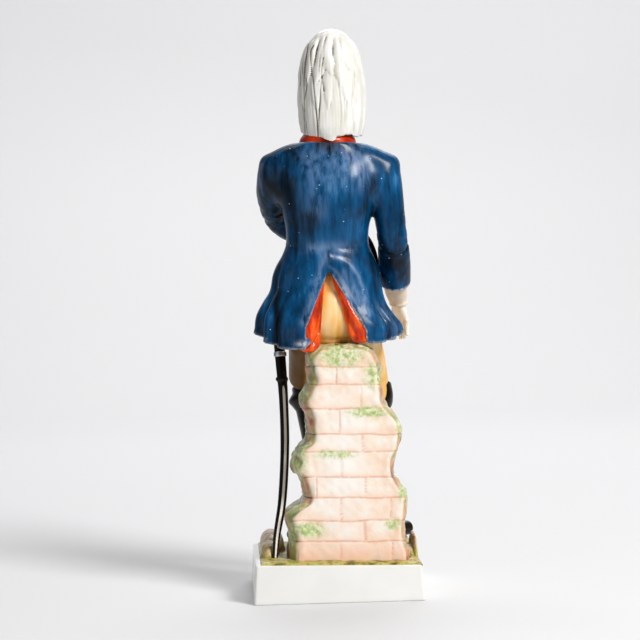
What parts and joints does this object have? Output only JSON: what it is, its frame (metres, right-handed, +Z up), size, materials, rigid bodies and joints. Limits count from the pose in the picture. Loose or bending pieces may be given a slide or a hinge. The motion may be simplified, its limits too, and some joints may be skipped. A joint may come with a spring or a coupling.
{
  "type": "porcelain soldier figurine",
  "caption": "Glazed porcelain figurine of a soldier in a long coat and riding boots, seated on a ruined brick wall with a sabre at the side, on a white rectangular plinth.",
  "frame": {"origin": "middle of the plinth's underside, on the surface that the figurine stands on", "axes": "+Z up; the soldier faces -Y; +X is the soldier's left"},
  "size_m": [0.0876, 0.0876, 0.2946],
  "materials": {
    "glazed_porcelain": "white porcelain, hand painted in cobalt blue, iron red, ochre, black, pink and moss green under a clear gloss glaze"
  },
  "bodies": {
    "root": {"porcelain_figurine": "glazed_porcelain"}
  },
  "joints": []
}
